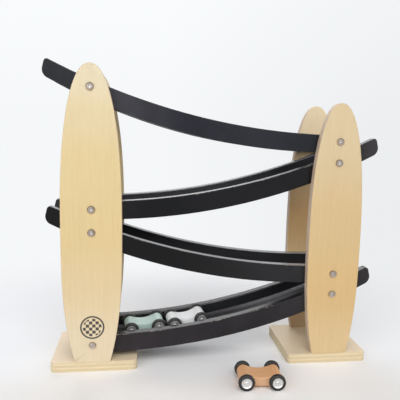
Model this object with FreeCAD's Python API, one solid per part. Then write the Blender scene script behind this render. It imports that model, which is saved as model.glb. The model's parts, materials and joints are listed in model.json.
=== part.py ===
import FreeCAD, Part
import math
import os

# A wooden zigzag race track with three cars. Millimetres.
# X runs along the tracks, Y from front to back, Z up.
# The origin is on the floor, on the left tower's centre line, midway between its uprights.

V = FreeCAD.Vector

# Towers
tower_spacing = 256.0
stand_depth = 84.0
base_length = 89.0
base_thick = 10.75
base_inward = 1.5
base_corner_round = 5.0
upright_thick = 9.0
left_tip_above_bolt = 22.5
left_upright_half_width = 30.7
left_foot_half_width = 18.3
right_tip_above_bolt = 39.9
right_upright_half_width = 28.7
right_foot_half_width = 19.4
widest_share = 0.45
crown_side_power = 2.4
crown_tip_power = 2.2
wood_edge_round = 0.8

# Tracks, each drawn from its upper bolt: x towards the lower end, z up
track_drops = [49.3, 49.3, 46.8, 49.9]
lowest_bolt_above_base = 17.85
rail_clearances = [3.0, 4.5, 3.2]
rail_thick = 9.5
rail_top_radius = 674.0
rail_bottom_radius = 612.5
rail_above_upper_bolt = 7.9
rail_above_lower_bolt = 7.0
rail_below_upper_bolt = 11.7
rail_below_lower_bolt = 11.3
rail_overhang = 43.7
rail_overhang_lean = 4.1
rail_overhang_top_round = 3.2
rail_overhang_bottom_round = 9.0
rail_lower_end = 8.0
rail_lower_end_round = 8.4
rail_edge_round = 0.8
floor_below_rail_top = 11.8
floor_thick = 3.0
floor_groove_depth = 3.0
floor_fit = 0.1
floor_setback = 3.0
drop_gap = 31.0
last_floor_gap = 11.0
stop_face_gap = 22.5
stop_thick = 9.5
stop_below_rail_top = 2.5

# Fasteners
bolt_radius = 2.0
bolt_head_radius = 3.9
bolt_head_height = 2.2
bolt_head_round = 1.6
bolt_hex_across = 2.5
bolt_hex_depth = 1.3
bolt_tip_gap = 1.0
bolt_hole_clearance = 0.25
insert_radius = 3.25
insert_length = 8.0
thread_clearance = 0.05
screw_radius = 1.75
screw_head_radius = 4.0
screw_head_height = 2.4
screw_head_sink = 0.4
screw_length = 32.0
screw_clearance = 0.05
screw_spread = 18.0

# Cars, each drawn from the ground midway between its axles: x along the car, z up
wheel_base = 30.7
wheel_radius = 8.2
tyre_width = 5.5
tyre_round = 1.8
hub_radius = 5.5
hub_inset = 0.3
hub_round = 0.7
hub_web = 1.2
push_fit = 0.01
wheel_side_gap = 0.75
body_width = 22.7
body_end_radius = 6.4
body_top_hollow = 3.3
body_arch = 0.8
body_edge_round = 1.0
axle_radius = 1.5
axle_clearance = 0.05
wheel_gap = 0.3
parked_car_turn = 5.0
stop_to_wheel = 7.7
car_gap = 0.6
natural_car_x = 168.75
natural_car_in_front = 38.3
natural_car_heading = -3.5

# Places that follow from the sizes above
rail_outer_y = stand_depth / 2 - upright_thick
rail_inner_y = rail_outer_y - rail_thick
floor_top_radius = rail_top_radius + floor_below_rail_top
floor_half_width = rail_inner_y + floor_groove_depth - floor_fit
car_width = body_width + 2 * (wheel_side_gap + tyre_width)


def track_heights():
    """Height of each track's upper bolt, from the top track down."""
    heights = [base_thick + lowest_bolt_above_base + track_drops[-1]]
    for clearance, drop in zip(reversed(rail_clearances), reversed(track_drops[:-1])):
        rail_room = rail_above_upper_bolt + rail_below_lower_bolt + clearance
        heights.insert(0, heights[0] + rail_room + drop)
    return heights


upper_bolt_heights = track_heights()
last_track = len(upper_bolt_heights) - 1


def arc_centre(start, end, radius):
    """Centre, above the chord, of the arc of this radius that sags from start to end."""
    chord = end - start
    half = chord.Length / 2
    upward = V(-chord.z, 0, chord.x).normalize()
    return start + chord * 0.5 + upward * math.sqrt(radius ** 2 - half ** 2)


def top_centre(number):
    """Centre of the arc along the top of a track's rails."""
    lower = V(tower_spacing, 0, rail_above_lower_bolt - track_drops[number])
    return arc_centre(V(0, 0, rail_above_upper_bolt), lower, rail_top_radius)


def bottom_centre(number):
    """Centre of the arc along the bottom of a track's rails."""
    lower = V(tower_spacing, 0, -rail_below_lower_bolt - track_drops[number])
    return arc_centre(V(0, 0, -rail_below_upper_bolt), lower, rail_bottom_radius)


def on_arc(centre, radius, x):
    """Point at x on the lower side of an arc."""
    return V(x, 0, centre.z - math.sqrt(radius ** 2 - (x - centre.x) ** 2))


def slab(edges, y_low, y_high):
    """Solid from a closed outline in the XZ plane, between two values of y."""
    face = Part.Face(Part.Wire(edges))
    face.translate(V(0, y_low, 0))
    return face.extrude(V(0, y_high - y_low, 0))


def between_arcs(upper, lower, x_low, x_high, y_low, y_high, lean=0.0):
    """Solid between two sagging arcs, each (centre, radius); the lower one starts earlier by the lean."""
    corners = []
    edges = []
    for centre, radius, x_start in ((*upper, x_low), (*lower, x_low - lean)):
        ends = [on_arc(centre, radius, x) for x in (x_start, x_high)]
        middle = on_arc(centre, radius, (x_start + x_high) / 2)
        edges.append(Part.Arc(ends[0], middle, ends[1]).toShape())
        corners.append(ends)
    for end in (0, 1):
        edges.append(Part.makeLine(corners[0][end], corners[1][end]))
    return slab(Part.__sortEdges__(edges), y_low, y_high)


def edges_along_y(shape, x_low, x_high):
    """Straight edges parallel to Y whose x lies in a range."""
    found = []
    for edge in shape.Edges:
        box = edge.BoundBox
        if box.YLength > 1 and box.XLength < 0.001 and box.ZLength < 0.001 and x_low < box.XMin < x_high:
            found.append(edge)
    return found


def outline_edges(shape, y):
    """Edges of the flat side at y."""
    return [e for e in shape.Edges if e.BoundBox.YLength < 0.001 and abs(e.BoundBox.YMin - y) < 0.001]


def rod(x, y_low, y_high, z, radius):
    """Cylinder along Y."""
    return Part.makeCylinder(radius, y_high - y_low, V(x, y_low, z), V(0, 1, 0))


def in_stand(shape, number):
    """Place a piece drawn in a track's own frame; odd tracks run down to the left."""
    placed = shape.copy()
    if number % 2:
        placed = placed.mirror(V(0, 0, 0), V(1, 0, 0))
        placed.translate(V(tower_spacing, 0, 0))
    placed.translate(V(0, 0, upper_bolt_heights[number]))
    return placed


def bolt_heights(tower):
    """Heights of the four bolts in one tower; tower 0 is the left one."""
    heights = []
    for number, height in enumerate(upper_bolt_heights):
        starts_here = number % 2 == tower
        heights.append(height if starts_here else height - track_drops[number])
    return heights


# Stand

def base_plate(tower):
    middle = tower * tower_spacing + (base_inward if tower == 0 else -base_inward)
    corner = V(middle - base_length / 2, -stand_depth / 2, 0)
    plate = Part.makeBox(base_length, stand_depth, base_thick, corner)
    corners = [e for e in plate.Edges if e.BoundBox.ZLength > base_thick / 2]
    plate = plate.makeFillet(base_corner_round, corners)
    rims = [e for e in plate.Edges if e.BoundBox.ZLength < 0.001]
    plate = plate.makeFillet(min(wood_edge_round, base_thick / 4), rims)
    for x, y in screw_places(tower):
        plate = plate.cut(screw(x, y, screw_clearance))
    return plate


def upright(tower, side):
    height = max(bolt_heights(tower)) + (left_tip_above_bolt, right_tip_above_bolt)[tower] - base_thick
    half_width = (left_upright_half_width, right_upright_half_width)[tower]
    foot = (left_foot_half_width, right_foot_half_width)[tower]
    x_middle = tower * tower_spacing
    waist = widest_share * height
    steps = 8
    flank = []
    for i in range(steps):
        rise = i / steps
        flank.append((half_width - (half_width - foot) * (1 - rise) ** 3, waist * rise))
    for i in range(steps):
        turn = math.pi / 2 * i / steps
        out = half_width * math.cos(turn) ** (2 / crown_tip_power)
        up = waist + (height - waist) * math.sin(turn) ** (2 / crown_side_power)
        flank.append((out, up))
    points = [V(x_middle + out, 0, base_thick + up) for out, up in flank]
    points.append(V(x_middle, 0, base_thick + height))
    points += [V(x_middle - out, 0, base_thick + up) for out, up in reversed(flank)]
    curve = Part.BSplineCurve()
    curve.interpolate(points)
    edges = [curve.toShape(), Part.makeLine(points[-1], points[0])]
    y_outer = side * stand_depth / 2
    y_inner = side * rail_outer_y
    board = slab(edges, min(y_outer, y_inner), max(y_outer, y_inner))
    long_edges = [e for y in (y_outer, y_inner) for e in outline_edges(board, y) if e.BoundBox.ZLength > 1]
    board = board.makeFillet(min(wood_edge_round, upright_thick / 4), long_edges)
    for z in bolt_heights(tower):
        board = board.cut(rod(x_middle, -stand_depth, stand_depth, z, bolt_radius + bolt_hole_clearance))
    for x, y in screw_places(tower):
        board = board.cut(screw(x, y, screw_clearance))
    return board


def rail(number, side):
    y_outer = side * rail_outer_y
    y_inner = side * rail_inner_y
    x_low = -rail_overhang
    x_high = tower_spacing + rail_lower_end
    body = between_arcs(
        (top_centre(number), rail_top_radius), (bottom_centre(number), rail_bottom_radius),
        x_low, x_high, min(y_outer, y_inner), max(y_outer, y_inner), rail_overhang_lean)
    x_first = x_low - rail_overhang_lean
    upper_end = sorted(edges_along_y(body, x_first - 1, x_low + 1), key=lambda e: e.BoundBox.ZMin)
    body = body.makeFillet(rail_overhang_bottom_round, [upper_end[0]])
    upper_end = sorted(edges_along_y(body, x_first - 1, x_low + 1), key=lambda e: e.BoundBox.ZMin)
    body = body.makeFillet(rail_overhang_top_round, [upper_end[-1]])
    lower_end = edges_along_y(body, x_high - 0.01, x_high + 1)
    end_height = abs(lower_end[0].BoundBox.ZMin - lower_end[-1].BoundBox.ZMin)
    for keep in (0, -1):
        corner = sorted(edges_along_y(body, x_high - 0.01, x_high + 1), key=lambda e: e.BoundBox.ZMin)[keep]
        body = body.makeFillet(min(rail_lower_end_round, 0.49 * end_height), [corner])
    rims = outline_edges(body, y_outer) + outline_edges(body, y_inner)
    body = body.makeFillet(rail_edge_round, rims)
    groove = floor_band(number, floor_fit, x_first - 1, rail_inner_y + floor_groove_depth)
    body = body.cut(groove)
    for x, z in ((0, 0), (tower_spacing, -track_drops[number])):
        y_bottom = side * (rail_outer_y - insert_length)
        pocket = rod(x, min(y_outer, y_bottom), max(y_outer, y_bottom), z, insert_radius + push_fit)
        body = body.cut(pocket)
    return in_stand(body, number)


def floor_band(number, fit, x_low, half_width):
    """A track's floor board, or with a fit the groove that takes it."""
    x_high = tower_spacing - (last_floor_gap if number == last_track else drop_gap) + fit
    centre = top_centre(number)
    return between_arcs(
        (centre, floor_top_radius - fit), (centre, floor_top_radius + floor_thick + fit),
        x_low, x_high, -half_width, half_width)


def track_floor(number):
    return in_stand(floor_band(number, 0, floor_setback - rail_overhang, floor_half_width), number)


def end_stop(number):
    face = tower_spacing - stop_face_gap
    half_width = rail_inner_y - floor_fit
    centre = top_centre(number)
    block = between_arcs(
        (centre, rail_top_radius + stop_below_rail_top), (centre, floor_top_radius),
        face, face + stop_thick, -half_width, half_width)
    return in_stand(block, number)


# Fasteners

def bolt(x, z, side):
    seat = stand_depth / 2
    crown = seat + bolt_head_height
    head = rod(x, seat, crown, z, bolt_head_radius)
    head = head.makeFillet(min(bolt_head_round, 0.9 * bolt_head_height), outline_edges(head, crown))
    corner_radius = bolt_hex_across / math.sqrt(3)
    corners = [V(x + corner_radius * math.cos(math.radians(60 * i)), crown - bolt_hex_depth,
                 z + corner_radius * math.sin(math.radians(60 * i))) for i in range(7)]
    recess = Part.Face(Part.makePolygon(corners)).extrude(V(0, bolt_head_height, 0))
    tip = rail_outer_y - insert_length + bolt_tip_gap
    whole = head.cut(recess).fuse(rod(x, tip, seat, z, bolt_radius)).removeSplitter()
    return whole if side > 0 else whole.mirror(V(0, 0, 0), V(0, 1, 0))


def insert(x, z, side):
    low = rail_outer_y - insert_length
    ring = rod(x, low, rail_outer_y, z, insert_radius)
    ring = ring.cut(rod(x, low, rail_outer_y, z, bolt_radius + thread_clearance))
    return ring if side > 0 else ring.mirror(V(0, 0, 0), V(0, 1, 0))


def screw_places(tower):
    x_middle = tower * tower_spacing
    y_middle = (stand_depth - upright_thick) / 2
    return [(x_middle + dx, y) for dx in (-screw_spread / 2, screw_spread / 2) for y in (-y_middle, y_middle)]


def screw(x, y, clearance=0.0):
    """Countersunk wood screw, or with a clearance the hole for it, open at the underside."""
    head_radius = screw_head_radius + clearance
    shank_radius = screw_radius + clearance
    seat = V(x, y, screw_head_sink)
    whole = Part.makeCone(head_radius, shank_radius, screw_head_height, seat)
    whole = whole.fuse(Part.makeCylinder(shank_radius, screw_length + clearance, seat))
    if clearance:
        whole = whole.fuse(Part.makeCylinder(head_radius, screw_head_sink, V(x, y, 0)))
    return whole.removeSplitter()


# Cars

def car_body():
    """Dog-bone block: a round end over each axle, joined by a hollow top and an arched underside."""
    axle_x = wheel_base / 2

    def waist_arc(hollow, side):
        """Ends and middle of the arc that runs into both round ends, this far inside their outermost line."""
        rise = body_end_radius - hollow
        radius = (axle_x ** 2 + rise ** 2 - body_end_radius ** 2) / (2 * hollow)
        share = body_end_radius / (radius + body_end_radius)
        touch_x = axle_x * (1 - share)
        touch_z = wheel_radius + side * (rise + radius) * share
        return V(-touch_x, 0, touch_z), V(0, 0, wheel_radius + side * rise), V(touch_x, 0, touch_z)

    top = waist_arc(body_top_hollow, 1)
    bottom = waist_arc(body_arch, -1)
    far = axle_x + body_end_radius
    edges = [
        Part.Arc(*top).toShape(),
        Part.Arc(top[2], V(far, 0, wheel_radius), bottom[2]).toShape(),
        Part.Arc(*bottom).toShape(),
        Part.Arc(top[0], V(-far, 0, wheel_radius), bottom[0]).toShape()]
    block = slab(Part.__sortEdges__(edges), -body_width / 2, body_width / 2)
    rims = outline_edges(block, -body_width / 2) + outline_edges(block, body_width / 2)
    block = block.makeFillet(body_edge_round, rims)
    for x in (-axle_x, axle_x):
        block = block.cut(rod(x, -body_width, body_width, wheel_radius, axle_radius + axle_clearance))
    return block


def tyre_pair(x):
    tyres = []
    for side in (-1, 1):
        y_low = min(side * car_width / 2, side * (car_width / 2 - tyre_width))
        tyre = rod(x, y_low, y_low + tyre_width, wheel_radius, wheel_radius)
        rims = outline_edges(tyre, y_low) + outline_edges(tyre, y_low + tyre_width)
        tyre = tyre.makeFillet(min(tyre_round, 0.45 * tyre_width), rims)
        tyres.append(tyre.cut(rod(x, y_low, y_low + tyre_width, wheel_radius, hub_radius + push_fit)))
    return Part.Compound(tyres)


def hub_pair(x):
    hubs = []
    for side in (-1, 1):
        outer = car_width / 2 - hub_inset
        inner = car_width / 2 - tyre_width
        hub = rod(x, inner, outer, wheel_radius, hub_radius)
        hub = hub.makeFillet(hub_round, outline_edges(hub, outer))
        hub = hub.cut(rod(x, inner, outer - hub_web, wheel_radius, axle_radius + push_fit))
        hubs.append(hub if side > 0 else hub.mirror(V(0, 0, 0), V(0, 1, 0)))
    return Part.Compound(hubs)


def axle(x):
    end = car_width / 2 - hub_inset - hub_web - push_fit
    return rod(x, -end, end, wheel_radius, axle_radius)


def axle_circle():
    """Radius of the circle that the axles of a car on a track's curve follow."""
    return floor_top_radius - wheel_gap - wheel_radius


def chord_angle(length):
    """Angle in degrees between two axles this far apart on the curve."""
    return math.degrees(2 * math.asin(length / 2 / axle_circle()))


def car_on_track(cars_below):
    """Placement of a car on the lowest track, with this many cars between it and the end stop."""
    curve = top_centre(last_track)
    centre_x = tower_spacing - curve.x
    centre_z = upper_bolt_heights[last_track] + curve.z
    front_axle_x = stop_face_gap + stop_to_wheel + wheel_radius
    angle = math.degrees(math.asin((front_axle_x - centre_x) / axle_circle())) + chord_angle(wheel_base) / 2
    angle += cars_below * (chord_angle(wheel_base) + chord_angle(2 * wheel_radius + car_gap))
    turn = math.radians(angle)
    reach = math.sqrt(axle_circle() ** 2 - (wheel_base / 2) ** 2) + wheel_radius
    spot = V(centre_x + reach * math.sin(turn), 0, centre_z - reach * math.cos(turn))
    slope = FreeCAD.Rotation(V(0, -1, 0), angle)
    return FreeCAD.Placement(spot, slope.multiply(FreeCAD.Rotation(V(0, 0, 1), parked_car_turn)))


def save(name, shape):
    if not shape.isValid():
        print("not valid:", name)
    shape.exportStep("parts/" + name + ".step")


def save_stand():
    for tower, tower_name in enumerate(("left", "right")):
        x = tower * tower_spacing
        save(tower_name + "_base_plate", base_plate(tower))
        save(tower_name + "_base_screws", Part.Compound([screw(sx, sy) for sx, sy in screw_places(tower)]))
        for side, side_name in ((-1, "front"), (1, "back")):
            name = tower_name + "_" + side_name
            save(name + "_upright", upright(tower, side))
            save(name + "_bolts", Part.Compound([bolt(x, z, side) for z in bolt_heights(tower)]))
            save(name + "_inserts", Part.Compound([insert(x, z, side) for z in bolt_heights(tower)]))
    for number in range(len(upper_bolt_heights)):
        name = "track_" + str(number + 1)
        save(name + "_front_rail", rail(number, -1))
        save(name + "_back_rail", rail(number, 1))
        save(name + "_floor", track_floor(number))
    save("end_stop", end_stop(last_track))


def save_cars():
    places = {
        "mint": car_on_track(0),
        "white": car_on_track(1),
        "natural": FreeCAD.Placement(
            V(natural_car_x, -stand_depth / 2 - natural_car_in_front, 0),
            FreeCAD.Rotation(V(0, 0, 1), natural_car_heading))}
    for colour, place in places.items():
        pieces = {"body": car_body()}
        for end, x in (("front", -wheel_base / 2), ("rear", wheel_base / 2)):
            pieces[end + "_axle"] = axle(x)
            pieces[end + "_hubs"] = hub_pair(x)
            pieces[end + "_tyres"] = tyre_pair(x)
        for piece, shape in pieces.items():
            shape.Placement = place.multiply(shape.Placement)
            save(colour + "_car_" + piece, shape)


os.makedirs("parts", exist_ok=True)
save_stand()
save_cars()
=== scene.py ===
import json
import math
import bmesh
import bpy
from mathutils import Matrix, Vector


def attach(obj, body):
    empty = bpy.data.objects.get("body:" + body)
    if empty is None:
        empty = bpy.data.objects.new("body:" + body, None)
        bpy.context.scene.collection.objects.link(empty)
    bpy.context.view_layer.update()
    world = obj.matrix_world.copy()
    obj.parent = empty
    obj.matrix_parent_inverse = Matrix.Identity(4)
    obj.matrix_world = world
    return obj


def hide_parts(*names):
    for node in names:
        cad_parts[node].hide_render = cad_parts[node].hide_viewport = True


# Looks of a wooden zigzag race track with three small cars
# Object coordinates are metres; the sizes below are millimetres

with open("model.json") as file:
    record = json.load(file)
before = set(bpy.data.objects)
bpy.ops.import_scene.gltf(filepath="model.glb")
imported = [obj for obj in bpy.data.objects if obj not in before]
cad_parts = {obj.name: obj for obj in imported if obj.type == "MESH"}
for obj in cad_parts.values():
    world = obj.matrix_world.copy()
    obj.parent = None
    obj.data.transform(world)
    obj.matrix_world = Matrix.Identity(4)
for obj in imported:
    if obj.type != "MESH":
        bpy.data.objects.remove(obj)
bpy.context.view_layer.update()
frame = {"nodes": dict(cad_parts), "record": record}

mm = 0.001

# Stand
tower_spacing = 256.0
upright_outer_face = 42.0
upright_inner_face = 33.0
upright_plies = 7
base_thick = 10.75
base_plies = 5
upper_bolt_heights = [292.2, 220.7, 147.7, 78.5]
track_drops = [49.3, 49.3, 46.8, 49.9]
rail_above_upper_bolt = 7.9
rail_above_lower_bolt = 7.0
rail_top_radius = 674.0
rail_middle = 28.25
rail_half_thick = 4.75
rail_inner_face = rail_middle - rail_half_thick

# Button-head bolts
bolt_head_radius = 3.9
bolt_head_height = 2.2
bolt_rim_height = 0.55
bolt_flat_radius = 1.5
bolt_seat_bevel = 0.15
bolt_shank_radius = 2.0
bolt_shank_bevel = 0.4
bolt_reach = 16.0
socket_radius = 1.25
socket_depth = 1.3
socket_bevel = (0.1, 0.12)
socket_cone = 0.3
bolt_seed = 7

# Countersunk wood screws up through the base plates
screw_x_offset = 9.0
screw_y_offset = 37.5
screw_head_radius = 4.0
screw_head_face = 0.4
screw_head_end = 2.8
screw_shank_radius = 1.75
screw_shank_end = 26.0
screw_tip = 32.4
screw_head_round = (0.15, 0.5)
screw_seed = 3
cross_depth = 1.9
cross_foot_radius = 0.5
cross_radius = 2.1
cross_rim = 0.45
cross_land_radius = 2.5
cross_core = 0.3
cross_sharpness = 10

# Wheels, drawn along their axle; an outline's points are (radius, height over the outer face)
wheel_radius = 8.2
tyre_width = 5.5
tyre_outer_face = 17.6
tyre_shoulder = 1.9
tyre_bore = 5.51
tread_line = 0.12
tread_crown = 0.02
bead_inner_width = 0.35
bead_outer_width = 0.5
bead_groove = 0.15
bead_groove_depth = 0.12
hub_radius = 5.5
hub_outer_face = 17.3
hub_inner_face = 12.1
hub_bore = 1.51
hub_bore_end = 16.1
hub_rim_round = 0.45
hub_rim_width = 0.75
hub_rim_inner_round = 0.3
hub_dish = [(4.1, -0.42), (3.3, -0.62), (2.4, -0.76), (1.75, -0.8)]
axle_rivet = [(1.6, -0.62), (1.3, -0.46), (0.8, -0.38), (0, -0.36)]
axle_tip_reach = 3.2

# Cars, and the turn of the grain's pattern, in degrees, that lays it along each car
cars = ("mint", "white", "natural")
parked_car_turn = -5.0
floor_car_turn = 3.5

# Printed roundel on the left front upright
roundel_centre = (0.0, 48.2)
roundel_radius = 12.4
roundel_ring = 1.7
roundel_gap = 1.2
roundel_square = 3.3
print_blur = 0.06
print_fade = (4.0, 6.0)

# Mesh quality: the weld is metres, creases are degrees
weld_distance = 0.000002
piece_crease = 32
turned_crease = 28
bolt_facets = 48
wheel_facets = 64
dome_steps = 8
shoulder_steps = 7
outer_rim_steps = 5
inner_rim_steps = 3


def srgb(red, green, blue):
    """Colour from the 0 to 255 values that it shows on a screen."""
    def straight(value):
        share = value / 255
        return share / 12.92 if share <= 0.04045 else ((share + 0.055) / 1.055) ** 2.4
    return (straight(red), straight(green), straight(blue), 1.0)


# Camera, room and lamps, in metres

camera_place = Vector((0.04649, -0.54441, 0.25223))
camera_yaw = math.radians(7.15)
camera_pitch = math.radians(7.95)
camera_roll = math.radians(1.12)
camera_lens = 44.97
film_width = 36

# The room's tones at its left and right end, and how far sideways or up a direction points there
horizon_tones = srgb(245, 247, 248), srgb(236, 238, 240)
upper_tones = srgb(249, 251, 252), srgb(242, 244, 246)
left_heading = 0.05
right_heading = 0.45
upper_rise = 0.24
room_light = (0.92, 0.97, 1.08, 1.0)
room_light_strength = 0.26

# The floor's tones from left to right, behind and in front, darker towards the sides and the front as
# painted falloff of light; all but its radius is millimetres
floor_radius = 3.0
floor_facets = 96
floor_middle = (128.0, -20.0, 0.0)
floor_fade = (230.0, 560.0)
front_fade = (0.0, -95.0)
paper_tones_and_falloff = [
    (-150.0, srgb(248, 248, 249)), (30.0, srgb(252, 252, 252)), (220.0, srgb(253, 253, 253)),
    (350.0, srgb(239, 239, 239))]
front_paper_tones_and_falloff = [
    (-150.0, srgb(231, 230, 228)), (30.0, srgb(249, 246, 243)), (220.0, srgb(252, 249, 246)),
    (350.0, srgb(231, 230, 228))]

lamp_size = 1.2
lamp_aim = Vector((0.13, 0.0, 0.12))
lamps = [
    ("front_softbox", (0.2, -1.3, 1.3), 11.5),
    ("front_left_softbox", (-0.9, -1.2, 0.8), 11.8),
    ("front_right_softbox", (1.1, -1.2, 0.8), 5.2),
    ("right_softbox", (1.6, 0.0, 0.8), 4.0),
    ("back_softbox", (0.1, 1.3, 1.2), 13.8)]


def add_camera():
    """Camera where the photo was taken from, solved from the object's own edges."""
    forward = Vector((
        math.sin(camera_yaw) * math.cos(camera_pitch),
        math.cos(camera_yaw) * math.cos(camera_pitch),
        -math.sin(camera_pitch)))
    level_right = Vector((math.cos(camera_yaw), -math.sin(camera_yaw), 0))
    level_up = level_right.cross(forward)
    right = math.cos(camera_roll) * level_right + math.sin(camera_roll) * level_up
    up = math.cos(camera_roll) * level_up - math.sin(camera_roll) * level_right
    turn = Matrix((right, up, -forward)).transposed().to_4x4()
    camera = bpy.data.objects.new("camera", bpy.data.cameras.new("camera"))
    camera.data.lens = camera_lens
    camera.data.sensor_width = film_width
    camera.data.clip_start = 0.01
    camera.matrix_world = Matrix.Translation(camera_place) @ turn
    bpy.context.scene.collection.objects.link(camera)
    bpy.context.scene.camera = camera


def seen_directly(tree):
    """Socket that is 1 for rays that show the backdrop itself, and 0 for rays that light the object."""
    path = tree.nodes.new("ShaderNodeLightPath")
    glossy = tree.nodes.new("ShaderNodeMath")
    glossy.operation = "MAXIMUM"
    tree.links.new(path.outputs["Is Camera Ray"], glossy.inputs[0])
    tree.links.new(path.outputs["Is Glossy Ray"], glossy.inputs[1])
    clear = tree.nodes.new("ShaderNodeMath")
    clear.operation = "MAXIMUM"
    tree.links.new(glossy.outputs[0], clear.inputs[0])
    tree.links.new(path.outputs["Is Transmission Ray"], clear.inputs[1])
    return clear.outputs[0]


def room_falloff(tree, sideways, left_tone, right_tone):
    """The room's tone from left to right; sideways is the X part of a direction."""
    share = tree.nodes.new("ShaderNodeMapRange")
    share.inputs["From Min"].default_value = left_heading
    share.inputs["From Max"].default_value = right_heading
    tree.links.new(sideways, share.inputs["Value"])
    tone = tree.nodes.new("ShaderNodeMix")
    tone.data_type = "RGBA"
    tone.inputs[6].default_value = left_tone
    tone.inputs[7].default_value = right_tone
    tree.links.new(share.outputs[0], tone.inputs[0])
    return tone.outputs[2]


def add_world():
    world = bpy.data.worlds.new("pale_room")
    bpy.context.scene.world = world
    world.use_nodes = True
    tree = world.node_tree
    light = tree.nodes["Background"]
    light.inputs["Color"].default_value = room_light
    light.inputs["Strength"].default_value = room_light_strength
    shown = tree.nodes.new("ShaderNodeBackground")
    direction = tree.nodes.new("ShaderNodeSeparateXYZ")
    tree.links.new(tree.nodes.new("ShaderNodeTexCoord").outputs["Generated"], direction.inputs[0])
    low = room_falloff(tree, direction.outputs["X"], *horizon_tones)
    high = room_falloff(tree, direction.outputs["X"], *upper_tones)
    height = tree.nodes.new("ShaderNodeMapRange")
    height.inputs["From Max"].default_value = upper_rise
    tree.links.new(direction.outputs["Z"], height.inputs["Value"])
    rise = tree.nodes.new("ShaderNodeMix")
    rise.data_type = "RGBA"
    for source, socket in ((height.outputs[0], 0), (low, 6), (high, 7)):
        tree.links.new(source, rise.inputs[socket])
    tree.links.new(rise.outputs[2], shown.inputs["Color"])
    blend = tree.nodes.new("ShaderNodeMixShader")
    tree.links.new(seen_directly(tree), blend.inputs["Fac"])
    tree.links.new(light.outputs[0], blend.inputs[1])
    tree.links.new(shown.outputs[0], blend.inputs[2])
    tree.links.new(blend.outputs[0], tree.nodes["World Output"].inputs["Surface"])


def add_floor():
    """Pale paper: it takes the object's soft shadow nearby and runs out into the backdrop further off."""
    mesh = bpy.data.meshes.new("floor")
    disc = bmesh.new()
    bmesh.ops.create_circle(disc, cap_ends=True, segments=floor_facets, radius=floor_radius)
    disc.to_mesh(mesh)
    disc.free()
    floor = bpy.data.objects.new("floor", mesh)
    bpy.context.scene.collection.objects.link(floor)
    paper = Finish("floor_paper", 0.9)
    spot = paper.place()
    side, depth = paper.axes(spot)[:2]
    near = paper.step("VectorMath", {0: spot, 1: floor_middle}, operation="DISTANCE")["Value"]
    # Paper tone behind and in front, with the painted falloff of light towards the sides and the front
    behind = paper.along(side, paper_tones_and_falloff)
    in_front = paper.along(side, front_paper_tones_and_falloff)
    paper.link(paper.blend(paper.span(depth, *front_fade), behind, in_front), "Base Color")
    paper.shader.inputs["Specular IOR Level"].default_value = 0.1
    foot = (camera_place.x / mm, camera_place.y / mm, 0.0)
    away = paper.step("VectorMath", {0: spot, 1: foot}, operation="SUBTRACT")[0]
    heading = paper.axes(paper.step("VectorMath", {0: away}, operation="NORMALIZE")[0])[0]
    backdrop = room_falloff(paper.tree, heading, *horizon_tones)
    glow = paper.step("Emission", {"Color": backdrop, "Strength": 1.0})[0]
    share = paper.times(paper.span(near, *floor_fade), seen_directly(paper.tree))
    blend = paper.step("MixShader", {0: share, 1: paper.shader.outputs[0], 2: glow})[0]
    paper.tree.links.new(blend, paper.tree.nodes["Material Output"].inputs["Surface"])
    mesh.materials.append(paper.material)


def add_lamp(name, place, power):
    lamp = bpy.data.lights.new(name, "AREA")
    lamp.shape = "DISK"
    lamp.size = lamp_size
    lamp.energy = power
    item = bpy.data.objects.new(name, lamp)
    item.location = place
    item.rotation_euler = (lamp_aim - Vector(place)).to_track_quat("-Z", "Y").to_euler()
    bpy.context.scene.collection.objects.link(item)


# Finishes

# Share of a warm tint's loss of blue that its green loses too
green_loss = 0.45

# Figure of wood and layers of plywood
grain_draw = 0.035
ring_count = 62.0
layer_wave = 0.16
seam_width = 0.07

# Black boards: how far up a face has to look to count as a top, and the wear's shift from track to track
facing_up = (0.6, 0.85)
patch_shift = 17.0


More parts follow.
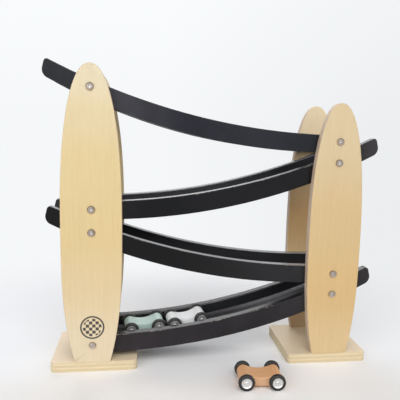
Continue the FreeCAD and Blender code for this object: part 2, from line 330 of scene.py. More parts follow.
class Finish:
    """A material being made: each step adds a node and hands on its output."""

    def __init__(self, name, roughness, metallic=0.0):
        self.material = bpy.data.materials.new(name)
        self.material.use_nodes = True
        self.tree = self.material.node_tree
        self.shader = self.tree.nodes["Principled BSDF"]
        self.shader.inputs["Roughness"].default_value = roughness
        self.shader.inputs["Metallic"].default_value = metallic

    def step(self, kind, inputs, **settings):
        node = self.tree.nodes.new("ShaderNode" + kind)
        for key, value in settings.items():
            setattr(node, key, value)
        for key, value in inputs.items():
            if isinstance(value, bpy.types.NodeSocket):
                self.tree.links.new(value, node.inputs[key])
            else:
                node.inputs[key].default_value = value
        return node.outputs

    def place(self, stretch=(1.0, 1.0, 1.0), turn=(0.0, 0.0, 0.0), shift=(0.0, 0.0, 0.0)):
        """Object coordinates in millimetres, turned and stretched for a pattern."""
        spot = self.step("TexCoord", {})["Object"]
        spot = self.step("VectorMath", {0: spot, "Scale": 1 / mm}, operation="SCALE")[0]
        turned_spot = self.step("Mapping", {"Vector": spot, "Location": shift, "Rotation": turn})[0]
        return self.step("Mapping", {"Vector": turned_spot, "Scale": stretch})[0]

    def axes(self, vector):
        parts = self.step("SeparateXYZ", {0: vector})
        return parts["X"], parts["Y"], parts["Z"]

    def facing(self):
        """The surface's own direction in the object's axes."""
        return self.axes(self.step("TexCoord", {})["Normal"])

    def math(self, operation, a, b=0.0):
        return self.step("Math", {0: a, 1: b}, operation=operation)[0]

    def add(self, a, b):
        return self.math("ADD", a, b)

    def less(self, a, b):
        return self.math("SUBTRACT", a, b)

    def times(self, a, b):
        return self.math("MULTIPLY", a, b)

    def size(self, value):
        """The value without its sign."""
        return self.math("ABSOLUTE", value)

    def reach(self, a, b):
        """Distance of a point from the origin of its plane."""
        return self.math("SQRT", self.add(self.times(a, a), self.times(b, b)))

    def span(self, value, low, high, out_low=0.0, out_high=1.0):
        """Smooth change from one level to another as the value goes from low to high."""
        return self.step("MapRange", {
            "Value": value, "From Min": low, "From Max": high, "To Min": out_low, "To Max": out_high,
        }, interpolation_type="SMOOTHSTEP")[0]

    def noise(self, vector, scale, detail=2.0, rough=0.5, warp=0.0):
        return self.step("TexNoise", {
            "Vector": vector, "Scale": scale, "Detail": detail, "Roughness": rough, "Distortion": warp})[0]

    def blend(self, share, a, b, kind="MIX"):
        return self.step("Mix", {0: share, 6: a, 7: b}, data_type="RGBA", blend_type=kind)[2]

    def along(self, value, stops):
        """Colour that runs from stop to stop; a stop is (value, colour)."""
        colour = stops[0][1]
        for (low, _), (high, tone) in zip(stops, stops[1:]):
            colour = self.blend(self.span(value, low, high), colour, tone)
        return colour

    def tint(self, colour, level, warmth=0.0):
        """A lighter or darker tone of a colour that already varies."""
        return self.blend(1.0, colour, shade_of((1.0, 1.0, 1.0), level, warmth), "MULTIPLY")

    def tinted(self, share, colour, low, high):
        """Goes from one tint of a colour, given by its level, to another."""
        return self.blend(share, self.tint(colour, low), self.tint(colour, high))

    def bump(self, height, depth, strength):
        normal = self.step("Bump", {"Height": height, "Distance": depth * mm, "Strength": strength})[0]
        self.tree.links.new(normal, self.shader.inputs["Normal"])

    def link(self, output, socket):
        self.tree.links.new(output, self.shader.inputs[socket])


def shade_of(colour, level, warmth=0.0):
    """Lighter or darker tone of a colour; warmth takes more out of the green and most out of the blue."""
    loss = (0.0, warmth * green_loss, warmth)
    return tuple(part * (level - less) for part, less in zip(colour, loss)) + (1.0,)


def grain_stretch(axis, fine):
    """Stretch that makes a pattern run long one way: fine across the grain, drawn out along it."""
    stretch = [fine, fine, fine]
    stretch["XYZ".index(axis)] = fine * grain_draw
    return tuple(stretch)


def fibres(finish, grain, turn=(0.0, 0.0, 0.0)):
    """Fine fibres of a sawn or peeled face, from 0 to 1."""
    return finish.noise(finish.place(grain_stretch(grain, 1.0), turn), scale=1.3, detail=5.0, rough=0.65)


def growth_rings(finish, grain, turn=(0.0, 0.0, 0.0)):
    """Wide growth-ring figure, from 0 to 1."""
    place = finish.place(grain_stretch(grain, 0.3), turn)
    wide = finish.noise(place, scale=0.17, detail=3.0, rough=0.45, warp=0.4)
    rings = finish.math("SINE", finish.times(wide, ring_count))
    return finish.span(rings, -0.4, 1.0)


def pore_marks(finish, grain, turn=(0.0, 0.0, 0.0)):
    """Short dark pores along the grain, from 0 to 1."""
    pores = finish.noise(finish.place(grain_stretch(grain, 3.2), turn), scale=1.1, detail=1.0, rough=0.4)
    return finish.span(pores, 0.63, 0.75)


def layered_edge(finish, across, layers, grain, light, dark):
    """Plywood's edge: light and dark layers in turn, with a thin dark seam between them."""
    start, thick = layers
    count = finish.math("DIVIDE", finish.less(across, start), thick)
    wobble = finish.noise(finish.place(), scale=0.12)
    count = finish.add(count, finish.times(finish.less(wobble, 0.5), layer_wave))
    beside = finish.math("PINGPONG", count, 1.0)
    end_grain = finish.noise(finish.place(), scale=3.4, detail=3.0, rough=0.7)
    streak = finish.noise(finish.place(grain_stretch(grain, 1.0)), scale=1.4, detail=3.0, rough=0.6)
    long_layer = finish.blend(finish.span(streak, 0.3, 0.7), shade_of(light, 0.9), shade_of(light, 1.06))
    cross_layer = finish.blend(finish.span(end_grain, 0.3, 0.7), shade_of(dark, 0.82), shade_of(dark, 1.1))
    edge = finish.blend(finish.span(beside, 0.44, 0.56), long_layer, cross_layer)
    seam = finish.size(finish.less(beside, 0.5))
    return finish.blend(finish.span(seam, 0.0, seam_width, 0.5, 0.0), edge, shade_of(dark, 0.55)), end_grain


def plywood(name, veneer_and_light, layer_axis, layers, grain, edge_light, edge_dark, print_roundel=False):
    """Lacquered plywood: face plies on the two faces, glued layers round the edges.

    veneer lists (height, colour) from the foot up: the face plies' tone, with painted sheen and painted
    shade on the uprights; layers is (where the first one starts, how thick each is), measured along the
    layer axis."""
    finish = Finish(name, 0.46)
    axis = "XYZ".index(layer_axis)
    spot = finish.axes(finish.place())
    fibre = fibres(finish, grain)
    pores = pore_marks(finish, grain)
    # Face tone by height, with the painted sheen and painted shade it carries
    face = finish.along(spot[2], veneer_and_light)
    rings = growth_rings(finish, grain)
    colour = finish.blend(
        finish.span(fibre, 0.3, 0.72), finish.tint(face, 0.965, 0.03), finish.tint(face, 1.025))
    colour = finish.blend(finish.times(rings, 0.16), colour, finish.tint(face, 0.9, 0.1))
    colour = finish.blend(finish.times(pores, 0.25), colour, finish.tint(face, 0.74, 0.14))
    cloud = finish.noise(finish.place((0.4, 0.4, 0.12)), scale=0.06)
    colour = finish.blend(finish.span(cloud, 0.4, 0.75, 0.0, 0.4), colour, finish.tint(face, 1.0, 0.09))
    if print_roundel:
        colour = roundel_print(finish, colour)
    edge, end_grain = layered_edge(finish, finish.size(spot[axis]), layers, grain, edge_light, edge_dark)
    on_face = finish.span(finish.size(finish.facing()[axis]), 0.55, 0.9)
    finish.link(finish.blend(on_face, edge, colour), "Base Color")
    rough = finish.span(fibre, 0.2, 0.8, 0.42, 0.52)
    finish.link(finish.add(rough, finish.times(finish.less(1.0, on_face), 0.15)), "Roughness")
    relief = finish.add(fibre, finish.times(pores, -0.8))
    relief = finish.add(relief, finish.times(end_grain, 0.6))
    finish.bump(relief, 0.05, 0.35)
    return finish.material


def roundel_print(finish, wood):
    """A ring round a chequered disc, stamped in dark ink that lets a little grain through."""
    x, y, z = finish.axes(finish.place())
    x = finish.less(x, roundel_centre[0])
    z = finish.less(z, roundel_centre[1])
    out = finish.reach(x, z)
    ring_inside = roundel_radius - roundel_ring
    disc_edge = ring_inside - roundel_gap
    ring_from = finish.span(out, ring_inside - print_blur, ring_inside + print_blur)
    ring_to = finish.span(out, roundel_radius - print_blur, roundel_radius + print_blur, 1.0, 0.0)
    ring = finish.times(ring_from, ring_to)
    disc = finish.span(out, disc_edge - print_blur, disc_edge + print_blur, 1.0, 0.0)
    columns = finish.math("SINE", finish.times(x, math.pi / roundel_square))
    rows = finish.math("SINE", finish.times(z, math.pi / roundel_square))
    chequer = finish.span(finish.times(columns, rows), -0.02, 0.02)
    ink = finish.math("MAXIMUM", ring, finish.times(disc, chequer))
    starts, ends = print_fade
    ink = finish.times(ink, finish.span(y, -upright_inner_face - starts, -upright_inner_face - ends))
    grain = finish.noise(finish.place((1.0, 1.0, 0.5)), scale=2.6, detail=3.0, rough=0.7)
    speckle = finish.span(grain, 0.25, 0.5, 0.86, 0.97)
    return finish.blend(finish.times(ink, speckle), wood, roundel_ink)


def rail_curve_centre(track):
    """Middle of the circle that the tops of a track's rails follow; odd tracks run down to the left."""
    high = Vector((0.0, rail_above_upper_bolt))
    low = Vector((tower_spacing, rail_above_lower_bolt - track_drops[track]))
    half = (low - high) / 2
    upward = Vector((-half.y, half.x)).normalized()
    centre = high + half + upward * math.sqrt(rail_top_radius ** 2 - half.length_squared)
    x = tower_spacing - centre.x if track % 2 else centre.x
    return x, centre.y + upper_bolt_heights[track]


def black_paint(name, track, gloss, side_paint_and_light, lane_paint_and_light, lip_highlight, top_reflections, board_paint_and_light):
    """Satin black on board, chipped along the edges, with painted reflections on the rails' upper edges and
    painted light on the boards and the inner faces.

    sides, tops and board_paint_and_light list (distance along X, colour): sides is the black with painted
    shade and reflection, tops the tone of the upper edges, paler on most tracks as painted reflection, and
    board_paint_and_light the boards' black with painted light;
    lane is the tone of the faces that look into the track, lightened as painted light, and lip that of
    their upper edge, a painted highlight where it is paler."""
    finish = Finish(name, 0.2)
    finish.shader.inputs["Specular IOR Level"].default_value = gloss
    curve_x, curve_z = rail_curve_centre(track)
    along_x, y, z = finish.axes(finish.place())
    out = finish.reach(finish.less(along_x, curve_x), finish.less(z, curve_z))
    depth = finish.size(finish.less(out, rail_top_radius))
    aside = finish.size(y)
    middle = finish.size(finish.less(aside, rail_middle))
    from_edge = finish.add(depth, finish.size(finish.less(rail_half_thick, middle)))
    normal_y, normal_z = finish.facing()[1:]
    inward = finish.times(normal_y, finish.times(finish.math("SIGN", y), -0.5))
    upward = finish.span(finish.add(normal_z, inward), *facing_up)
    on_top = finish.times(upward, finish.span(depth, *top_depths, 1.0, 0.0))
    on_board = finish.times(upward, finish.span(depth, *board_depths))
    shift = (patch_shift * track, 0.0, 0.0)
    patches = finish.noise(finish.place((0.045, 0.08, 0.08), shift=shift), scale=1.0)
    chips = finish.noise(finish.place((0.5, 1.0, 1.0)), scale=0.9, detail=3.0, rough=0.75)
    chip_reach = finish.span(patches, 0.42, 0.7, 0.35, 1.5)
    close = finish.less(1.0, finish.math("MINIMUM", finish.math("DIVIDE", from_edge, chip_reach), 1.0))
    worn = finish.span(finish.add(finish.times(close, 0.55), chips), 0.84, 0.92)
    cloud = finish.noise(finish.place(), scale=0.03, detail=3.0, rough=0.6)
    # Side tone along X: the black with painted shade and painted reflection in it
    black = finish.tinted(finish.span(cloud, 0.35, 0.7), finish.along(along_x, side_paint_and_light), 0.88, 1.12)
    # Faces inside the track: a lightened tone as painted light, and a paler upper edge as a painted
    # highlight
    starts, ends = skin_depths
    inside = finish.span(aside, rail_inner_face + starts, rail_inner_face + ends)
    black = finish.blend(inside, black, finish.blend(finish.span(depth, *lip_highlight_depths), lip_highlight, lane_paint_and_light))
    # Paler upper edges of the rails: painted reflection, broken into streaks
    light_streaks = finish.noise(finish.place((0.04, 1.0, 1.0)), scale=0.8, detail=4.0, rough=0.7)
    top = finish.tinted(finish.span(light_streaks, 0.35, 0.7), finish.along(along_x, top_reflections), 0.8, 1.15)
    # Boards: painted light, lighter towards the back and varying along X as the stops give
    board = finish.tinted(finish.span(y, *board_light_falloff), finish.along(along_x, board_paint_and_light), 0.5, 2.2)
    board = finish.tinted(finish.span(light_streaks, 0.4, 0.7), board, 0.8, 1.25)
    colour = finish.blend(on_top, black, top)
    colour = finish.blend(on_board, colour, board)
    colour = finish.blend(worn, colour, chip_tone)
    finish.link(colour, "Base Color")
    mottle = finish.noise(finish.place(), scale=0.25, detail=3.0, rough=0.6)
    rough = finish.span(mottle, 0.3, 0.7, 0.17, 0.25)
    finish.link(finish.math("MAXIMUM", rough, finish.times(worn, 0.7)), "Roughness")
    orange_peel = finish.noise(finish.place((0.35, 1.0, 1.0)), scale=0.9, detail=3.0, rough=0.55)
    finish.bump(finish.less(orange_peel, finish.times(worn, 0.6)), 0.06, 0.3)
    return finish.material


def car_paint(name, top, side, turn):
    """Satin paint on a small block, the grain just telling through; where it faces sideways it is a shade
    paler as painted light.
    """
    finish = Finish(name, 0.5)
    fibre = fibres(finish, "X", (0.0, 0.0, math.radians(turn)))
    flank = finish.span(finish.size(finish.facing()[1]), 0.5, 0.9)
    # Paler flank tone: painted light
    colour = finish.blend(flank, top, side)
    tone = finish.tinted(finish.span(fibre, 0.3, 0.7), colour, 0.965, 1.02)
    cloud = finish.noise(finish.place(), scale=0.11)
    tone = finish.blend(finish.span(cloud, 0.35, 0.7, 0.0, 0.3), tone, finish.tint(colour, 0.95))
    finish.link(tone, "Base Color")
    finish.link(finish.span(cloud, 0.3, 0.7, 0.48, 0.6), "Roughness")
    peel = finish.noise(finish.place(), scale=1.6, detail=3.0, rough=0.6)
    finish.bump(finish.add(finish.times(fibre, 0.5), finish.times(peel, 0.5)), 0.05, 0.25)
    return finish.material


def bare_block(name, top, side, turn):
    """Clear-lacquered solid wood with its grain along the car and darker end grain."""
    finish = Finish(name, 0.42)
    heading = (0.0, 0.0, math.radians(turn))
    fibre = fibres(finish, "X", heading)
    pores = pore_marks(finish, "X", heading)
    end_on, side_on = finish.facing()[:2]
    # Top and flank tones differ as painted light
    colour = finish.blend(finish.span(finish.size(side_on), 0.5, 0.9), top, side)
    tone = finish.tinted(finish.span(fibre, 0.3, 0.7), colour, 0.92, 1.05)
    rings = growth_rings(finish, "X", heading)
    tone = finish.blend(finish.times(rings, 0.3), tone, finish.tint(colour, 0.84))
    tone = finish.blend(finish.times(pores, 0.4), tone, finish.tint(colour, 0.6))
    speck = finish.noise(finish.place(), scale=2.2, detail=3.0, rough=0.7)
    ends = finish.tinted(finish.span(speck, 0.3, 0.7), colour, 0.72, 0.95)
    end_face = finish.span(finish.size(end_on), 0.7, 0.95, 0.0, 0.5)
    finish.link(finish.blend(end_face, tone, ends), "Base Color")
    finish.link(finish.span(fibre, 0.2, 0.8, 0.38, 0.5), "Roughness")
    finish.bump(finish.add(fibre, finish.times(pores, -0.8)), 0.05, 0.3)
    return finish.material


def rubber(name, dark, dusty):
    """Matt moulded rubber with a little dust on it."""
    finish = Finish(name, 0.55)
    dust = finish.noise(finish.place(), scale=0.35, detail=4.0, rough=0.7)
    grit = finish.noise(finish.place(), scale=4.0, rough=0.6)
    finish.link(finish.blend(finish.span(dust, 0.4, 0.75), dark, dusty), "Base Color")
    finish.link(finish.span(dust, 0.3, 0.7, 0.46, 0.64), "Roughness")
    finish.bump(grit, 0.04, 0.35)
    return finish.material


def button_steel(name, rim, crown, socket):
    """Bolt heads with painted reflections: dull round the dome's edge, paler where it turns down and low on
    the stand, and brightest in the socket as a painted highlight."""
    finish = Finish(name, 0.36, 1.0)
    normal_y, normal_z = finish.facing()[1:]
    y, z = finish.axes(finish.place())[1:]
    flat = finish.size(normal_y)
    marks = finish.noise(finish.place(), scale=2.5, detail=3.0, rough=0.6)
    level = finish.add(flat, finish.times(finish.less(marks, 0.5), 0.1))
    # Darker tone round the dome's edge: painted reflection
    tone = finish.blend(finish.span(level, 0.8, 1.0), rim, crown)
    # Paler where the head turns down, darker where it faces up, and paler on the lower bolts: painted
    # reflection
    tone = finish.tinted(finish.span(normal_z, -0.7, 0.4), tone, 2.4, 0.75)
    tone = finish.blend(finish.span(z, *painted_light_bolt_heights), finish.tint(tone, 1.6), tone)
    # Bright socket floor: painted highlight
    starts, ends = socket_floor_levels
    sunk = finish.span(finish.size(y), upright_outer_face + starts, upright_outer_face + ends)
    tone = finish.blend(finish.times(sunk, finish.span(flat, 0.8, 0.95)), tone, socket)
    finish.link(tone, "Base Color")
    finish.link(finish.span(marks, 0.3, 0.7, 0.36, 0.5), "Roughness")
    finish.bump(marks, 0.02, 0.2)
    return finish.material


def polished(name, dark, light, roughness, metallic=1.0):
    """Metal or silvered plastic with fine turning marks and slightly uneven tone."""
    finish = Finish(name, roughness, metallic)
    tarnish = finish.noise(finish.place(), scale=0.5, detail=3.0, rough=0.6)
    marks = finish.noise(finish.place(), scale=3.5, detail=3.0, rough=0.6)
    finish.link(finish.blend(finish.span(tarnish, 0.35, 0.7), light, dark), "Base Color")
    finish.link(finish.span(tarnish, 0.3, 0.7, roughness * 0.8, roughness * 1.25), "Roughness")
    finish.bump(marks, 0.02, 0.2)
    return finish.material


# Shapes

def plain_mesh(item):
    """Gives the object its evaluated shape as its own mesh, with no modifier left."""
    graph = bpy.context.evaluated_depsgraph_get()
    mesh = bpy.data.meshes.new_from_object(item.evaluated_get(graph))
    item.modifiers.clear()
    item.data = mesh


def soften(item, crease):
    """Smooth shading that keeps flat faces flat and real corners crisp."""
    item.data.shade_smooth()
    item.data.set_sharp_from_angle(angle=math.radians(crease))
    weight = item.modifiers.new("even_shading", "WEIGHTED_NORMAL")
    weight.keep_sharp = True
    plain_mesh(item)


def dress(node, material):
    """Adds a clean smooth copy of a CAD piece that stands for it."""
    mesh = frame["nodes"][node].data.copy()
    shape = bmesh.new()
    shape.from_mesh(mesh)
    bmesh.ops.remove_doubles(shape, verts=shape.verts, dist=weld_distance)
    shape.to_mesh(mesh)
    shape.free()
    mesh.materials.clear()
    mesh.materials.append(material)
    item = bpy.data.objects.new(node + "_shown", mesh)
    bpy.context.scene.collection.objects.link(item)
    soften(item, piece_crease)
    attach(item, body_of_node[node])
    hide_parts(node)


def outline_reach(radius, angle, form):
    """How far a turned outline stands out at an angle: round, hexagon (across flats) or cross recess."""
    if form == "hexagon":
        return radius / math.cos((angle + math.pi / 6) % (math.pi / 3) - math.pi / 6)
    if form == "cross":
        return radius * (cross_core + (1 - cross_core) * abs(math.cos(2 * angle)) ** cross_sharpness)
    return radius


def turned(profile, steps):
    """Mesh of a closed outline turned about Z. A point is (radius, height) or (radius, height, form)."""
    mesh = bpy.data.meshes.new("turned")
    shape = bmesh.new()
    rings = []
    for point in profile:
        radius, height = point[:2]
        form = point[2] if len(point) > 2 else "round"
        if radius == 0:
            rings.append([shape.verts.new((0, 0, height * mm))])
            continue
        ring = []
        for i in range(steps):
            angle = 2 * math.pi * i / steps
            reach = outline_reach(radius, angle, form)
            corner = (reach * math.cos(angle) * mm, reach * math.sin(angle) * mm, height * mm)
            ring.append(shape.verts.new(corner))
        rings.append(ring)
    for low, high in zip(rings, rings[1:] + rings[:1]):
        if len(low) == 1 and len(high) == 1:
            continue
        for i in range(steps):
            j = (i + 1) % steps
            corners = [low[i % len(low)], low[j % len(low)], high[j % len(high)], high[i % len(high)]]
            shape.faces.new(list(dict.fromkeys(corners)))
    bmesh.ops.recalc_face_normals(shape, faces=shape.faces)
    shape.to_mesh(mesh)
    shape.free()
    return mesh


def arc(centre, radius, start, stop, steps):
    """Points of a rounded corner, angles in degrees."""
    points = []
    for i in range(steps + 1):
        angle = math.radians(start + (stop - start) * i / steps)
        points.append((centre[0] + radius * math.cos(angle), centre[1] + radius * math.sin(angle)))
    return points


def setting_out_tree():
    """Puts one piece, drawn along Z, at each point: it is turned as the point's aim says, and about its
    own axis by chance."""
    tree = bpy.data.node_groups.new("set_out_pieces", "GeometryNodeTree")
    face = tree.interface
    for name, kind, way in (
            ("Geometry", "NodeSocketGeometry", "INPUT"), ("Piece", "NodeSocketObject", "INPUT"),
            ("Material", "NodeSocketMaterial", "INPUT"), ("Random Turn", "NodeSocketFloat", "INPUT"),
            ("Seed", "NodeSocketInt", "INPUT"), ("Geometry", "NodeSocketGeometry", "OUTPUT")):
        face.new_socket(name, in_out=way, socket_type=kind)
    nodes = {}
    for key, kind in (
            ("start", "NodeGroupInput"), ("end", "NodeGroupOutput"), ("piece", "GeometryNodeObjectInfo"),
            ("points", "GeometryNodeMeshToPoints"), ("aim", "GeometryNodeInputNamedAttribute"),
            ("copies", "GeometryNodeInstanceOnPoints"), ("spin", "GeometryNodeRotateInstances"),
            ("chance", "FunctionNodeRandomValue"), ("turn", "ShaderNodeCombineXYZ"),
            ("real", "GeometryNodeRealizeInstances"), ("cover", "GeometryNodeSetMaterial")):
        nodes[key] = tree.nodes.new(kind)
    nodes["aim"].data_type = "FLOAT_VECTOR"
    nodes["aim"].inputs["Name"].default_value = "aim"
    nodes["chance"].data_type = "FLOAT"
    for source, output, target, socket in (
            ("start", "Geometry", "points", "Mesh"), ("start", "Piece", "piece", "Object"),
            ("points", "Points", "copies", "Points"), ("piece", "Geometry", "copies", "Instance"),
            ("aim", "Attribute", "copies", "Rotation"), ("copies", "Instances", "spin", "Instances"),
            ("start", "Random Turn", "chance", "Max"), ("start", "Seed", "chance", "Seed"),
            ("turn", "Vector", "spin", "Rotation"), ("spin", "Instances", "real", "Geometry"),
            ("real", "Geometry", "cover", "Geometry"), ("start", "Material", "cover", "Material"),
            ("cover", "Geometry", "end", "Geometry")):
        fitting = [s for s in nodes[target].inputs if s.name == socket and s.enabled][0]
        tree.links.new([s for s in nodes[source].outputs if s.name == output and s.enabled][0], fitting)
    chance = [s for s in nodes["chance"].outputs if s.enabled][0]
    tree.links.new(chance, nodes["turn"].inputs["Z"])
    return tree


def set_out(name, places, mesh, material, random_turn, seed):
    """One mesh with the piece at every place; a place is (point in millimetres, turn about X, Y and Z)."""
    points = bpy.data.meshes.new(name)
    points.from_pydata([Vector(point) * mm for point, aim in places], [], [])
    aims = points.attributes.new("aim", "FLOAT_VECTOR", "POINT")
    for i, (point, aim) in enumerate(places):
        aims.data[i].vector = aim
    item = bpy.data.objects.new(name, points)
    bpy.context.scene.collection.objects.link(item)
    pattern = bpy.data.objects.new(name + "_pattern", mesh)
    steps = item.modifiers.new("set_out", "NODES")
    steps.node_group = setting_out
    values = {"Piece": pattern, "Material": material, "Random Turn": random_turn, "Seed": seed}
    for socket in setting_out.interface.items_tree:
        if socket.in_out == "INPUT" and socket.name in values:
            steps[socket.identifier] = values[socket.name]
    plain_mesh(item)
    bpy.data.objects.remove(pattern)
    return item


def finish_piece(item, body, slot, *nodes):
    """Softens a set-out piece and says which body it rides on and which CAD pieces it stands for."""
    soften(item, turned_crease)
    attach(item, body)
    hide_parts(*nodes)


# Fasteners

def button_bolt():
    """Button-head bolt on its seat: domed head with a hexagon socket, and the shank behind it."""
    dome = []
    for i in range(dome_steps + 1):
        angle = math.pi / 2 * i / dome_steps
        out = bolt_flat_radius + (bolt_head_radius - bolt_flat_radius) * math.cos(angle)
        dome.append((out, bolt_rim_height + (bolt_head_height - bolt_rim_height) * math.sin(angle)))
    bevel_out, bevel_down = socket_bevel
    socket_floor = bolt_head_height - socket_depth
    profile = [
        (0, -bolt_reach), (bolt_shank_radius - bolt_shank_bevel, -bolt_reach),
        (bolt_shank_radius, -bolt_reach + bolt_shank_bevel), (bolt_shank_radius, 0.0),
        (bolt_head_radius - bolt_seat_bevel, 0.0), (bolt_head_radius, bolt_seat_bevel)]
    profile += dome
    profile += [
        (socket_radius + bevel_out, bolt_head_height, "hexagon"),
        (socket_radius, bolt_head_height - bevel_down, "hexagon"),
        (socket_radius, socket_floor, "hexagon"), (0, socket_floor - socket_cone)]
    return turned(profile, bolt_facets)


def wood_screw():
    """Countersunk wood screw seen from under the base, drawn with its head towards -Z."""
    round_in, round_up = screw_head_round
    profile = [
        (0, cross_depth), (cross_foot_radius, cross_depth, "cross"), (cross_radius, cross_rim, "cross"),
        (cross_land_radius, screw_head_face),
        (screw_head_radius - round_in, screw_head_face), (screw_head_radius, round_up),
        (screw_shank_radius, screw_head_end), (screw_shank_radius, screw_shank_end), (0, screw_tip)]
    return turned(profile, bolt_facets)


def add_fasteners(bolt_metal, screw_metal):
    bolt_places = []
    screw_places = []
    for tower in (0, 1):
        for number, height in enumerate(upper_bolt_heights):
            z = height if number % 2 == tower else height - track_drops[number]
            for side in (-1, 1):
                point = (tower * tower_spacing, side * upright_outer_face, z)
                bolt_places.append((point, (-side * math.pi / 2, 0, 0)))
        for x in (-screw_x_offset, screw_x_offset):
            for y in (-screw_y_offset, screw_y_offset):
                screw_places.append(((tower * tower_spacing + x, y, 0.0), (0, 0, 0)))
    bolts = set_out("bolts", bolt_places, button_bolt(), bolt_metal, math.pi / 3, bolt_seed)
    finish_piece(bolts, "stand", "steel", *[
        tower + "_" + side + "_bolts" for tower in ("left", "right") for side in ("front", "back")])
    screws = set_out("base_screws", screw_places, wood_screw(), screw_metal, math.pi, screw_seed)
    finish_piece(screws, "stand", "steel", "left_base_screws", "right_base_screws")


# Wheels

def tyre():
    """Soft tyre with round shoulders and a moulding line round the tread; Z = 0 is its outer face."""
    inner = -tyre_width
    middle = inner / 2
    shoulder = wheel_radius - tyre_shoulder
    profile = [(tyre_bore, 0.0), (tyre_bore, inner), (tyre_bore + bead_inner_width, inner)]
    profile += arc((shoulder, inner + tyre_shoulder), tyre_shoulder, -90, 0, shoulder_steps)
    profile += [
        (wheel_radius - tread_crown, middle - tread_line), (wheel_radius - tread_line, middle),
        (wheel_radius - tread_crown, middle + tread_line)]
    profile += arc((shoulder, -tyre_shoulder), tyre_shoulder, 0, 90, shoulder_steps)
    profile += [(tyre_bore + bead_outer_width, 0.0), (tyre_bore + bead_groove, -bead_groove_depth)]
    return turned(profile, wheel_facets)


def hub():
    """Silvered wheel disc: a rounded rim, a shallow dish and the axle's rivet in the middle."""
    inner = hub_inner_face - hub_outer_face
    blind = hub_bore_end - hub_outer_face
    profile = [(hub_bore, blind), (hub_bore, inner), (hub_radius, inner)]
    outer_rim = (hub_radius - hub_rim_round, -hub_rim_round)
    inner_rim = (hub_radius - hub_rim_width, -hub_rim_inner_round)
    profile += arc(outer_rim, hub_rim_round, 0, 90, outer_rim_steps)
    profile += arc(inner_rim, hub_rim_inner_round, 90, 150, inner_rim_steps)
    profile += hub_dish + axle_rivet + [(0, blind)]
    return turned(profile, wheel_facets)


def axle_line(car, end):
    """Middle and direction of an axle, read from its CAD piece."""
    node = frame["nodes"][car + "_car_" + end + "_axle"]
    points = [vertex.co / mm for vertex in node.data.vertices]
    far = max(points, key=lambda point: point.y)
    near = min(points, key=lambda point: point.y)
    ends = []
    for tip in (near, far):
        close = [point for point in points if (point - tip).length < axle_tip_reach]
        ends.append(sum(close, Vector()) / len(close))
    return (ends[0] + ends[1]) / 2, (ends[1] - ends[0]).normalized()


def add_wheels(tyre_material, hub_material):
    for car in cars:
        for end in ("front", "rear"):
            body = car + "_car_" + end + "_wheels"
            middle, lateral = axle_line(car, end)
            for kind, mesh, face, material, slot in (
                    ("tyres", tyre(), tyre_outer_face, tyre_material, "tyre"),
                    ("hubs", hub(), hub_outer_face, hub_material, "hub")):
                places = []
                for side in (-1, 1):
                    out = lateral * side
                    turn = Vector((0, 0, 1)).rotation_difference(out).to_euler()
                    places.append((middle + out * face, tuple(turn)))
                name = car + "_car_" + end + "_" + kind
                item = set_out(name + "_shown", places, mesh, material, 2 * math.pi, len(name))
                finish_piece(item, body, slot, name)


# Colours of this toy

# Face ply tones by height: paler towards the ends as painted sheen; the right back upright's are also
# darker at the foot and round 150 mm as painted shade from the tracks
left_veneer_and_sheen = [
    (30.0, srgb(221, 205, 174)), (95.0, srgb(215, 193, 150)), (140.0, srgb(212, 189, 139)),
    (220.0, srgb(211, 190, 141)), (265.0, srgb(212, 194, 154)), (300.0, srgb(213, 200, 168))]
right_veneer_and_sheen = [
    (20.0, srgb(214, 186, 140)), (80.0, srgb(208, 176, 123)), (160.0, srgb(204, 177, 130)),
    (240.0, srgb(204, 184, 146))]
right_back_veneer_and_shade = [
    (20.0, srgb(188, 160, 124)), (90.0, srgb(228, 200, 152)), (150.0, srgb(208, 170, 120)),
    (215.0, srgb(224, 199, 156)), (260.0, srgb(226, 206, 170))]
base_veneer = [(0.0, srgb(239, 219, 187))]
side_tones = (srgb(224, 202, 176), srgb(192, 165, 140))
base_tones = (srgb(224, 206, 170), srgb(217, 197, 158))
roundel_ink = srgb(52, 49, 46)

# Fades of the black paint, which place its painted reflections, painted highlight and painted light: depths
# under the curve of the rails' upper edges, depths in the inner faces, and along Y
top_depths = (3.0, 5.0)
board_depths = (5.0, 7.0)
lip_highlight_depths = (0.6, 1.3)
skin_depths = (1.75, 0.25)
board_light_falloff = (10.0, 21.0)
chip_tone = srgb(146, 136, 126)
upper_board_paint_and_light = [(0.0, srgb(64, 63, 65))]
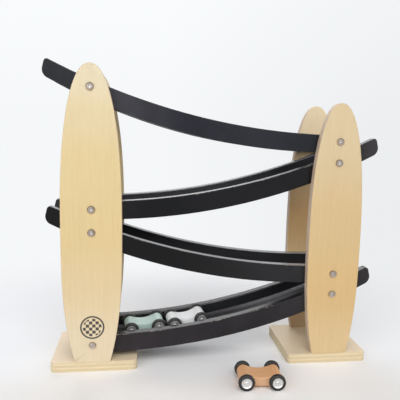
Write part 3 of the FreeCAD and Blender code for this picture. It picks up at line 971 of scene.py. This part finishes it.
# Per track: side tones are the black with painted shade and reflection, top tones mostly painted
# reflection, the inner-face tone painted light with a painted highlight on its upper edge, and board tones
# painted light
track_looks = [
    {"gloss": 0.2, "lane_paint_and_light": srgb(50, 50, 53), "lip_highlight": srgb(50, 50, 53),
     "side_paint_and_light": [(-40.0, srgb(34, 36, 40)), (28.0, srgb(57, 57, 62)), (64.0, srgb(46, 46, 52)),
               (96.0, srgb(32, 32, 40)), (148.0, srgb(36, 37, 43)), (250.0, srgb(30, 32, 38))],
     "top_reflections": [(0.0, srgb(70, 70, 72))],
     "board_paint_and_light": upper_board_paint_and_light},
    {"gloss": 0.2, "lane_paint_and_light": srgb(64, 64, 67), "lip_highlight": srgb(180, 180, 182),
     "side_paint_and_light": [(0.0, srgb(32, 30, 32)), (60.0, srgb(10, 10, 14)), (130.0, srgb(18, 18, 22)),
               (250.0, srgb(19, 18, 20)), (300.0, srgb(53, 50, 52))],
     "top_reflections": [(140.0, srgb(156, 156, 158)), (220.0, srgb(92, 92, 94))],
     "board_paint_and_light": upper_board_paint_and_light},
    {"gloss": 0.2, "lane_paint_and_light": srgb(46, 46, 48), "lip_highlight": srgb(46, 46, 48),
     "side_paint_and_light": [(80.0, srgb(10, 10, 12)), (220.0, srgb(37, 36, 38)), (265.0, srgb(44, 42, 44))],
     "top_reflections": [(60.0, srgb(146, 146, 148)), (130.0, srgb(128, 128, 130)), (240.0, srgb(150, 150, 152))],
     "board_paint_and_light": upper_board_paint_and_light},
    {"gloss": 0.12, "lane_paint_and_light": srgb(45, 46, 48), "lip_highlight": srgb(186, 186, 188),
     "side_paint_and_light": [(40.0, srgb(48, 44, 47)), (170.0, srgb(43, 41, 44)), (230.0, srgb(48, 46, 48)),
               (300.0, srgb(51, 49, 50))],
     "top_reflections": [(0.0, srgb(36, 35, 36))],
     "board_paint_and_light": [(90.0, srgb(120, 118, 120)), (140.0, srgb(80, 78, 81)),
                     (225.0, srgb(150, 148, 152))]}]

# Heights over which the lower bolts' paler painted reflection fades out, and how far out the socket's
# floor, with its painted highlight, starts and ends
painted_light_bolt_heights = (20.0, 150.0)
socket_floor_levels = (1.6, 1.2)

# The studio and the finishes

body_of_node = {}
for body_name, node_names in frame["record"]["behaviour"]["bodies"].items():
    for node_name in node_names:
        body_of_node[node_name] = body_name

add_camera()
add_world()
add_floor()
for lamp_name, lamp_place, lamp_power in lamps:
    add_lamp(lamp_name, lamp_place, lamp_power)

side_layers = (upright_inner_face, (upright_outer_face - upright_inner_face) / upright_plies)
base_layers = (0.0, base_thick / base_plies)
left_board = plywood("left_plywood", left_veneer_and_sheen, "Y", side_layers, "Z", *side_tones)
left_printed = plywood("left_plywood_printed", left_veneer_and_sheen, "Y", side_layers, "Z", *side_tones, True)
right_board = plywood("right_plywood", right_veneer_and_sheen, "Y", side_layers, "Z", *side_tones)
# A copy of the right plywood whose tones carry painted shade from the tracks and the front upright
right_back_shaded_board = plywood("right_back_plywood_painted_shade", right_back_veneer_and_shade, "Y", side_layers, "Z", *side_tones)
base_board = plywood("base_plywood", base_veneer, "Z", base_layers, "X", *base_tones)
track_paint = [
    black_paint("track_paint_" + str(number + 1), number, **looks)
    for number, looks in enumerate(track_looks)]
# The painted cars' paler flank tones are painted light
mint_paint = car_paint("mint_paint", srgb(176, 200, 191), srgb(188, 211, 203), parked_car_turn)
white_paint = car_paint("white_paint", srgb(219, 219, 219), srgb(245, 245, 245), parked_car_turn)
# The natural car's brighter, warmer top tone is painted light
natural_block = bare_block("natural_wood", srgb(236, 180, 130), srgb(213, 167, 128), floor_car_turn)
tyre_rubber = rubber("tyre_rubber", srgb(24, 23, 23), srgb(41, 39, 38))
hub_silver = polished("hub_silver", srgb(204, 202, 199), srgb(226, 225, 223), 0.26, 0.68)
# Dark dome edge and pale socket floor: painted reflection and painted highlight
bolt_steel = button_steel("bolt_steel", srgb(132, 119, 107), srgb(142, 133, 127), srgb(212, 207, 205))
zinc = polished("screw_zinc", srgb(150, 150, 146), srgb(196, 196, 190), 0.35)
axle_steel = polished("axle_steel", srgb(160, 160, 158), srgb(200, 200, 198), 0.3)
brass = polished("insert_brass", srgb(168, 132, 66), srgb(206, 170, 96), 0.32)

# Pieces

setting_out = setting_out_tree()
dress("left_front_upright", left_printed)
dress("left_back_upright", left_board)
dress("right_front_upright", right_board)
dress("right_back_upright", right_back_shaded_board)
dress("left_base_plate", base_board)
dress("right_base_plate", base_board)
for number, paint in enumerate(track_paint):
    for part in ("front_rail", "back_rail", "floor"):
        dress("track_" + str(number + 1) + "_" + part, paint)
dress("end_stop", track_paint[3])
dress("mint_car_body", mint_paint)
dress("white_car_body", white_paint)
dress("natural_car_body", natural_block)
for car in cars:
    for end in ("front", "rear"):
        dress(car + "_car_" + end + "_axle", axle_steel)
add_fasteners(bolt_steel, zinc)
add_wheels(tyre_rubber, hub_silver)
for node_name, node in frame["nodes"].items():
    if node_name.endswith("_inserts"):
        node.data.materials.clear()
        node.data.materials.append(brass)

bpy.context.scene.view_settings.view_transform = "Standard"
